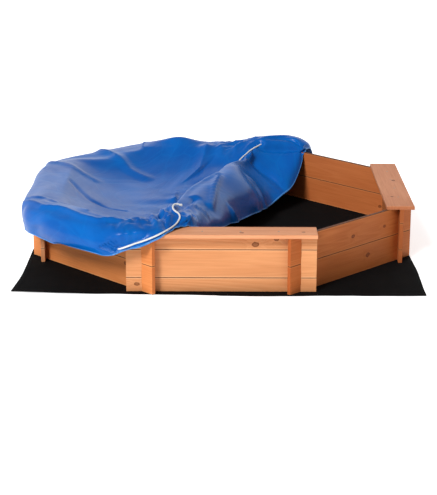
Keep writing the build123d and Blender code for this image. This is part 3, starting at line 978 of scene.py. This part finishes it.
# The sheet settles on the benches and walls. It is held firmly at the hem, softly in the middle.
def settleCover(piece):
    scene = bpy.context.scene
    pins = piece.vertex_groups.new(name="pins")
    near = piece.data.attributes["hemNear"].data
    gathered = piece.data.attributes["gathered"].data
    inner = cover["rings"][1]
    for vert in piece.data.vertices:
        reach = near[vert.index].value
        rim = cloth["rimHold"] + cloth["gatheredHold"] * gathered[vert.index].value
        weight = rim
        if reach < inner:
            weight = cloth["middleHold"] + (rim - cloth["middleHold"]) * (reach / inner) ** 3
        if reach > 0.97:
            weight = cloth["hemHold"]
        pins.add([vert.index], weight, "REPLACE")
    collider = makeCollider()
    modifier = piece.modifiers.new("cloth", "CLOTH")
    values = modifier.settings
    values.quality = cloth["quality"]
    values.mass = cloth["mass"]
    values.tension_stiffness = cloth["stiffness"]
    values.compression_stiffness = cloth["stiffness"]
    values.shear_stiffness = cloth["shear"]
    values.bending_stiffness = cloth["bending"]
    values.vertex_group_mass = "pins"
    values.pin_stiffness = 1.0
    values.shrink_min = -cloth["slack"]
    values.effector_weights.gravity = cloth["weight"]
    modifier.collision_settings.use_collision = True
    modifier.collision_settings.distance_min = cloth["gap"]
    modifier.collision_settings.use_self_collision = False
    scene.frame_start = 1
    scene.frame_end = cloth["frames"]
    for step in range(1, cloth["frames"] + 1):
        scene.frame_set(step)
    applyModifiers(piece)
    bpy.data.objects.remove(collider)
    scene.frame_set(1)
    relax = piece.modifiers.new("relax", "SMOOTH")
    relax.factor = 0.5
    relax.iterations = 3
    applyModifiers(piece)


# The settled sheet is divided once more, so that the creases can be sharp.
def refine(piece):
    finer = piece.modifiers.new("finer", "SUBSURF")
    finer.levels = 1
    finer.render_levels = 1
    applyModifiers(piece)


settleCover(coverPiece)
print("cover settled", sum(face.area for face in coverPiece.data.polygons))


# Folds and creases pressed into the settled sheet: the line in plan, the height and the half width.
# A valley has a negative height.
creases = [
    (
        [
            (-0.7, 0.22), (-0.632, 0.107), (-0.565, 0.021), (-0.498, -0.099), (-0.42, -0.148),
            (-0.354, -0.158),
        ],
        -0.006, 0.018,
    ),
    ([(-0.713, -0.247), (-0.641, -0.293), (-0.572, -0.369), (-0.466, -0.505)], 0.0065, 0.018),
    (
        [
            (-0.713, -0.301), (-0.638, -0.405), (-0.563, -0.46), (-0.489, -0.548), (-0.425, -0.606),
            (-0.373, -0.616), (-0.243, -0.628),
        ],
        0.011, 0.018,
    ),
    ([(-0.702, 0.321), (-0.644, 0.299), (-0.586, 0.24), (-0.5, 0.2)], 0.006, 0.035),
    ([(-0.513, 0.574), (-0.445, 0.491), (-0.376, 0.393), (-0.312, 0.34)], 0.01, 0.045),
    ([(-0.064, 0.602), (-0.091, 0.436), (-0.117, 0.312), (-0.149, 0.157), (-0.177, 0.052)], 0.014, 0.045),
    ([(-0.011, 0.06), (-0.03, -0.056), (-0.036, -0.153), (-0.043, -0.221)], 0.013, 0.02),
    ([(0.035, -0.085), (0.089, -0.008), (0.165, 0.19)], 0.014, 0.022),
    (
        [
            (-0.2, -0.52), (-0.178, -0.41), (-0.155, -0.285), (-0.125, -0.13), (-0.08, -0.01),
            (-0.015, 0.11),
        ],
        0.009, 0.016,
    ),
    ([(-0.15, -0.42), (-0.125, -0.31), (-0.1, -0.225)], -0.018, 0.028),
    ([(0.15, 0.558), (0.25, 0.575), (0.35, 0.58)], -0.015, 0.02),
    ([(0.09, 0.5), (0.19, 0.455), (0.24, 0.42)], -0.01, 0.03),
    ([(0.111, 0.259), (0.135, 0.262), (0.172, 0.236)], 0.012, 0.026),
    ([(-0.138, -0.377), (-0.105, -0.34), (-0.06, -0.33)], 0.01, 0.02),
]


def pressCreases(piece):
    near = piece.data.attributes["hemNear"].data
    gathered = piece.data.attributes["gathered"].data
    moved = []
    for vert in piece.data.vertices:
        reach = near[vert.index].value
        # The part tucked in under the gathered fold keeps clear of the ridges above it.
        hidden = gathered[vert.index].value > 0.5 and reach < cover["rings"][2] - 0.03
        plan = Vector((vert.co.x, vert.co.y))
        lift = 0.0
        for line, height, width in creases:
            if hidden and vert.co.x > line[-1][0]:
                continue
            best = width
            for index, (first, second) in enumerate(zip(line, line[1:])):
                start, run = Vector(first), Vector(second) - Vector(first)
                part = min(1.0, max(0.0, (plan - start).dot(run) / run.length_squared))
                best = min(best, (plan - start - run * part).length)
            lift += height * (1 - best / width) ** 1.4
        u, v = (vert.co.x * 1.1, vert.co.y * 1.1)
        for centre, spread, height in bunches:
            close = max(0.0, 1 - (vert.co - Vector(centre)).length / spread)
            folds = 0.3 - abs(noise.noise(Vector((u * 15.0, v * 11.0, 4.0)))) * 1.6
            folds += 0.2 - abs(noise.noise(Vector((u * 32.0, v * 22.0, 9.0)))) * 0.8
            lift += height * close**0.5 * folds
        moved.append(vert.co + vert.normal * lift)
    for vert, place in zip(piece.data.vertices, moved):
        vert.co = place


onBench = {
    "endMargin": 0.010, "edgeMargin": 0.003, "outerMargin": 0.002, "reach": 0.024, "depth": 0.045, "fall": 2,
}


# Where the settled sheet dips below the top of a bench it is laid back on it.
def layOnBenches(piece):
    half = -backSeat[0][0] + onBench["endMargin"]
    for vert in piece.data.vertices:
        for side in ("left", "front", "back"):
            angle = math.radians(benchSides[side])
            out = vert.co.x * math.cos(angle) + vert.co.y * math.sin(angle)
            along = vert.co.y * math.cos(angle) - vert.co.x * math.sin(angle)
            # In front of the bench's inner edge the sheet may fall away steeply.
            inFront = max(0.0, backSeat[0][1] - onBench["edgeMargin"] - out)
            inside = out < backSeat[1][1] - onBench["outerMargin"] and abs(along) < half
            floor = seatTop + cover["clear"] - onBench["fall"] * inFront
            if inside and inFront < onBench["reach"] and seatTop - onBench["depth"] < vert.co.z < floor:
                vert.co.z = floor


groove = {"depth": 0.0042, "far": 0.045, "floor": 0.009, "side": 0.021}


# The cord presses a groove into the sheet that it lies on.
def bedCord(piece, route, outward):
    outward = Vector(outward).normalized()
    points = [Vector(point) for point in route]
    fine = [first.lerp(second, step / 6) for first, second in zip(points, points[1:]) for step in range(6)]
    tree = kdtree.KDTree(len(fine))
    for index, point in enumerate(fine):
        tree.insert(point, index)
    tree.balance()
    for vert in piece.data.vertices:
        near = tree.find(vert.co)[0]
        offset = vert.co - near
        if offset.length > groove["far"]:
            continue
        height = offset.dot(outward)
        across = (offset - outward * height).length
        needed = -groove["depth"] - height
        beside = max(0.0, across - groove["floor"]) / groove["side"]
        if needed < 0 and beside < 1:
            vert.co += outward * needed * (1 - beside)


def finishCover(piece):
    wall = piece.modifiers.new("thickness", "SOLIDIFY")
    wall.thickness = cover["thickness"]
    wall.offset = 0
    applyModifiers(piece)
    for face in piece.data.polygons:
        face.use_smooth = True
    piece.data.materials.clear()
    piece.data.materials.append(coverSheet)


# The hem is a narrow channel turned over along the edge, with the drawstring inside it. The sheet's edge
# is extruded side by side round the channel, and the last side is joined to the first.
hemBead = {"width": 0.0075, "thick": 0.0042, "inset": 0.3, "sides": 8}


def makeHem(piece):
    hem = bmesh.new()
    hem.from_mesh(piece.data)
    middleOf = hem.verts.layers.float_vector.new("middle")
    acrossOf = hem.verts.layers.float_vector.new("across")
    outOf = hem.verts.layers.float_vector.new("out")
    for vert in hem.verts:
        if not vert.is_boundary:
            continue
        others = [edge.other_vert(vert).co - vert.co for edge in vert.link_edges if not edge.is_boundary]
        inward = sum(others, Vector()).normalized()
        out = vert.normal.normalized()
        across = (inward - out * inward.dot(out)).normalized()
        vert[middleOf] = vert.co + across * hemBead["width"] * hemBead["inset"]
        vert[acrossOf] = across * hemBead["width"] / 2
        vert[outOf] = out * hemBead["thick"] / 2
    bmesh.ops.delete(hem, geom=[vert for vert in hem.verts if not vert.is_boundary], context="VERTS")
    verts, edges = hem.verts[:], hem.edges[:]
    for side in range(hemBead["sides"] + 1):
        around = math.tau * side / hemBead["sides"]
        for vert in verts:
            vert.co = vert[middleOf] + vert[acrossOf] * math.cos(around) + vert[outOf] * math.sin(around)
        if side < hemBead["sides"]:
            grown = bmesh.ops.extrude_edge_only(hem, edges=edges)["geom"]
            verts = [item for item in grown if isinstance(item, bmesh.types.BMVert)]
            new = set(verts)
            edges = [
                item for item in grown if isinstance(item, bmesh.types.BMEdge) and new.issuperset(item.verts)
            ]
    bmesh.ops.remove_doubles(hem, verts=hem.verts[:], dist=1e-6)
    bmesh.ops.recalc_face_normals(hem, faces=hem.faces[:])
    for repeat in range(2):
        smooth(hem, hem.verts[:], 0.4)
    return newObject("coverHem", hem)


refine(coverPiece)
pressCreases(coverPiece)
layOnBenches(coverPiece)
bedCord(coverPiece, drawstring["front"], (-0.1, -0.6, 0.8))
bedCord(coverPiece, drawstring["back"], (-0.3, -0.5, 0.8))
hemPiece = makeHem(coverPiece)
hemPiece.data.materials.append(hemSheet)
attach(hemPiece, "cover")
finishCover(coverPiece)
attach(coverPiece, "cover")
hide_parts("cover_top", "cover_skirt")
print("cover finished")


studio = {
    "floor": 30.0,
    "floorDrop": 0.0004,
    "floorGlow": 0.62,
    "key": 2.7,
    "keyTurn": (50, -8, -28),
    "keyWidth": 18,
    "world": 0.34,
    "wallGlow": 0.95,
}


def makeFloor():
    bm = bmesh.new()
    bmesh.ops.create_grid(bm, x_segments=2, y_segments=2, size=studio["floor"])
    for vert in bm.verts:
        vert.co.z = -studio["floorDrop"]
    floor = newObject("studioFloor", bm)
    material, tree, shader = newMaterial("palePaper")
    place = addNode(tree, "ShaderNodeTexCoord")
    fibres = addNoise(tree, place.outputs["Object"], Scale=30.0, Detail=4.0)
    colour = addMix(tree, fibres.outputs["Fac"], (0.90, 0.90, 0.90), (0.93, 0.93, 0.93))
    tree.links.new(colour, shader.inputs["Base Color"])
    shader.inputs["Roughness"].default_value = 0.9
    shader.inputs["Specular IOR Level"].default_value = 0.1
    shader.inputs["Emission Color"].default_value = (1, 1, 1, 1)
    shader.inputs["Emission Strength"].default_value = studio["floorGlow"]
    floor.data.materials.append(material)


def makeSun(name, strength, turn, width):
    data = bpy.data.lights.new(name, "SUN")
    data.energy = strength
    data.angle = math.radians(width)
    lamp = bpy.data.objects.new(name, data)
    lamp.rotation_euler = [math.radians(part) for part in turn]
    bpy.context.collection.objects.link(lamp)


makeFloor()
makeSun("keyLight", studio["key"], studio["keyTurn"], studio["keyWidth"])


# The wall behind is bright near the floor, and the rest of the room is dimmer, as a sheen shows it.
def makeWorld():
    world = bpy.data.worlds.new("studioWorld")
    world.use_nodes = True
    tree = world.node_tree
    place = addNode(tree, "ShaderNodeTexCoord")
    split = addNode(tree, "ShaderNodeSeparateXYZ")
    tree.links.new(place.outputs["Generated"], split.inputs[0])
    behind = addRamp(tree, split.outputs[1], (0.0, 0.6, 0.0, 1.0))
    low = addRamp(tree, split.outputs[2], (0.34, 0.57, 1.0, 0.0))
    glow = addMath(tree, "MULTIPLY", behind, low)
    background = tree.nodes["Background"]
    background.inputs["Color"].default_value = (1, 1, 1, 1)
    strength = addMath(tree, "MULTIPLY_ADD", glow, studio["wallGlow"], studio["world"])
    tree.links.new(strength, background.inputs["Strength"])
    bpy.context.scene.world = world


makeWorld()
bpy.context.scene.view_settings.view_transform = "Standard"
print("lights on")
